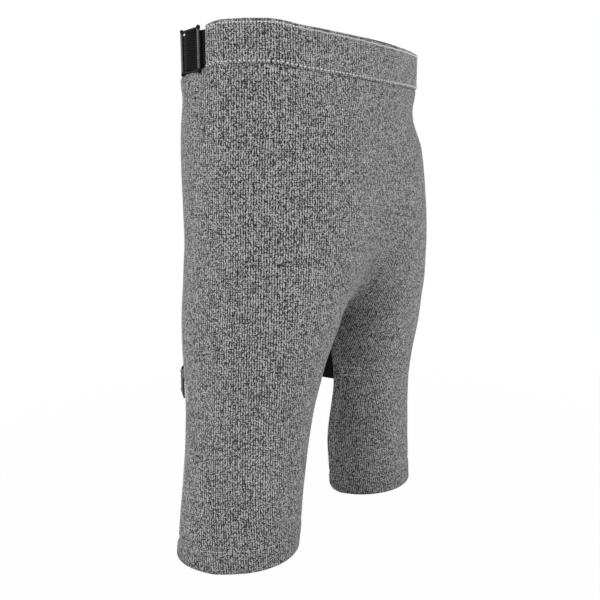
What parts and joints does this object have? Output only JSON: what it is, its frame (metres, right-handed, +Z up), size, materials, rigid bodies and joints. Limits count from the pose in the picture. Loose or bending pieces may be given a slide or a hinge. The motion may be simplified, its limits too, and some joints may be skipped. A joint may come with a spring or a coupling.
{
  "type": "cut resistant leg guards",
  "caption": "Knee-length open-backed leg guards of cut resistant knit, with a waistband, a webbing belt and thigh straps closed by side-release buckles.",
  "frame": {"origin": "middle of the waist opening, half way up the belt", "axes": "+Z up towards the wearer's head, -Y towards the front, +X towards the wearer's left"},
  "size_m": [0.3936, 0.2222, 0.5754],
  "materials": {
    "knit": "heather grey cut resistant knit, salt and pepper",
    "band_knit": "heather grey knit, turned over the belt and stitched in light thread",
    "webbing": "black woven webbing with fine cross ribs",
    "elastic": "black woven elastic",
    "buckle_plastic": "satin black moulded plastic",
    "adjuster_bar": "dark coated metal"
  },
  "bodies": {
    "root": {"front_panel": "knit", "waistband_casing": "band_knit", "right_hem": "knit", "left_hem": "knit", "belt_strap_front": "webbing", "belt_strap_right": "webbing", "belt_buckle_female": "buckle_plastic", "right_strap_elastic": "elastic", "right_buckle_tab": "webbing", "right_buckle_female": "buckle_plastic", "left_strap_elastic": "elastic", "left_buckle_tab": "webbing", "left_buckle_female": "buckle_plastic"},
    "belt_male": {"belt_buckle_male": "buckle_plastic", "belt_strap_left": "webbing"},
    "belt_upper_prong": {"belt_prong_upper": "buckle_plastic"},
    "belt_lower_prong": {"belt_prong_lower": "buckle_plastic"},
    "belt_adjuster": {"belt_triglide": "adjuster_bar", "belt_slider_weave": "webbing", "belt_strap_return": "webbing"},
    "right_male": {"right_buckle_male": "buckle_plastic", "right_strap_webbing": "webbing"},
    "right_upper_prong": {"right_prong_upper": "buckle_plastic"},
    "right_lower_prong": {"right_prong_lower": "buckle_plastic"},
    "left_male": {"left_buckle_male": "buckle_plastic", "left_strap_webbing": "webbing"},
    "left_upper_prong": {"left_prong_upper": "buckle_plastic"},
    "left_lower_prong": {"left_prong_lower": "buckle_plastic"}
  },
  "joints": [
    {"name": "belt_buckle_pull", "type": "slide", "parent": "root", "child": "belt_male", "axis": [1, 0, 0], "range_m": [0, 0.03], "deforming": ["belt_strap_left", "belt_prong_upper", "belt_prong_lower"]},
    {"name": "belt_prong_upper_squeeze", "type": "hinge", "parent": "belt_male", "child": "belt_upper_prong", "pos_m": [0.0076, 0.09325, 0.0198], "axis": [0, -1, 0], "range_deg": [0, 11.6], "stiffness_Nm_per_rad": 0.2},
    {"name": "belt_prong_lower_squeeze", "type": "hinge", "parent": "belt_male", "child": "belt_lower_prong", "pos_m": [0.0076, 0.09325, -0.0198], "axis": [0, -1, 0], "range_deg": [-11.6, 0], "stiffness_Nm_per_rad": 0.2},
    {"name": "belt_adjuster_slide", "type": "hinge", "parent": "root", "child": "belt_adjuster", "pos_m": [-0.079, 0.00822, 0], "axis": [0, 0, -1], "range_deg": [0, 20], "deforming": ["belt_slider_weave", "belt_strap_return"]},
    {"name": "right_buckle_pull", "type": "slide", "parent": "root", "child": "right_male", "axis": [0.5978, 0.8017, 0], "range_m": [0, 0.018], "deforming": ["right_strap_webbing", "right_prong_upper", "right_prong_lower"]},
    {"name": "right_prong_upper_squeeze", "type": "hinge", "parent": "right_male", "child": "right_upper_prong", "pos_m": [-0.14595, 0.07448, -0.3525], "axis": [0.8017, -0.5978, 0], "range_deg": [0, 14], "stiffness_Nm_per_rad": 0.1},
    {"name": "right_prong_lower_squeeze", "type": "hinge", "parent": "right_male", "child": "right_lower_prong", "pos_m": [-0.14595, 0.07448, -0.3715], "axis": [0.8017, -0.5978, 0], "range_deg": [-14, 0], "stiffness_Nm_per_rad": 0.1},
    {"name": "left_buckle_pull", "type": "slide", "parent": "root", "child": "left_male", "axis": [-0.5978, 0.8017, 0], "range_m": [0, 0.018], "deforming": ["left_strap_webbing", "left_prong_upper", "left_prong_lower"]},
    {"name": "left_prong_upper_squeeze", "type": "hinge", "parent": "left_male", "child": "left_upper_prong", "pos_m": [0.14595, 0.07448, -0.3525], "axis": [0.8017, 0.5978, 0], "range_deg": [0, 14], "stiffness_Nm_per_rad": 0.1},
    {"name": "left_prong_lower_squeeze", "type": "hinge", "parent": "left_male", "child": "left_lower_prong", "pos_m": [0.14595, 0.07448, -0.3715], "axis": [0.8017, 0.5978, 0], "range_deg": [-14, 0], "stiffness_Nm_per_rad": 0.1}
  ],
  "couplings": [
    {"joint": "belt_prong_lower_squeeze", "follows": "belt_prong_upper_squeeze", "ratio": -1},
    {"joint": "right_prong_lower_squeeze", "follows": "right_prong_upper_squeeze", "ratio": -1},
    {"joint": "left_prong_lower_squeeze", "follows": "left_prong_upper_squeeze", "ratio": -1}
  ]
}
